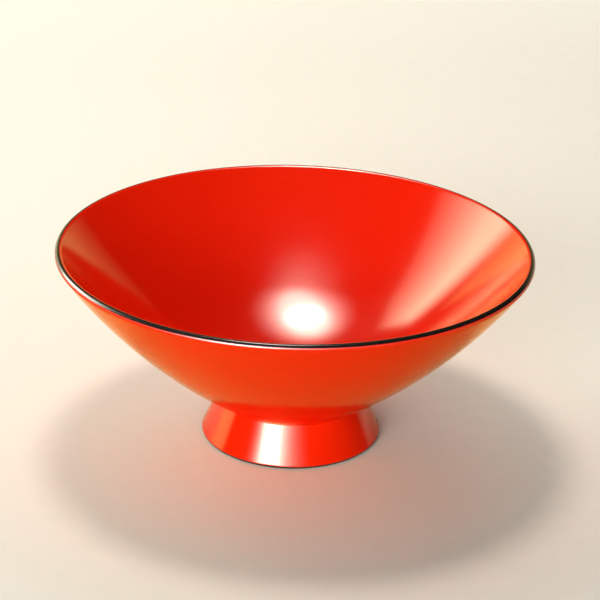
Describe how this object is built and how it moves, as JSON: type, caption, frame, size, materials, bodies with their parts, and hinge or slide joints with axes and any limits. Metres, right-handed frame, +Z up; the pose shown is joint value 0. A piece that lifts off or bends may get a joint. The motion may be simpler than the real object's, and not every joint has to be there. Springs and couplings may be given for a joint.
{
  "type": "sake cup",
  "caption": "Shallow round sake cup of turned wood on a flared ring foot, vermilion lacquer inside and out, with a thin black lacquer lip.",
  "frame": {"origin": "centre of the foot's seat, on the surface that the cup stands on", "axes": "+Z up along the cup's turning axis, X and Y any way round it"},
  "size_m": [0.091, 0.091, 0.0388],
  "materials": {
    "wood": "fine lathe-turned, unsealed under the ground coat",
    "glue": "cured lacquer and rice paste",
    "hemp": "fine plain-weave hemp soaked in lacquer",
    "ground": "matt, rubbed-down lacquer and clay powder",
    "vermilion": "glossy vermilion lacquer",
    "black": "polished black lacquer"
  },
  "bodies": {
    "root": {"bowl_core": "wood", "foot_ring": "wood", "foot_glue": "glue", "rim_cloth": "hemp", "base_cloth": "hemp", "foot_cloth": "hemp", "outer_ground": "ground", "inner_ground": "ground", "foot_ground": "ground", "recess_ground": "ground", "outer_topcoat": "vermilion", "inner_topcoat": "vermilion", "foot_topcoat": "vermilion", "recess_topcoat": "vermilion", "lip_band": "black", "seat_band": "black"}
  },
  "joints": []
}
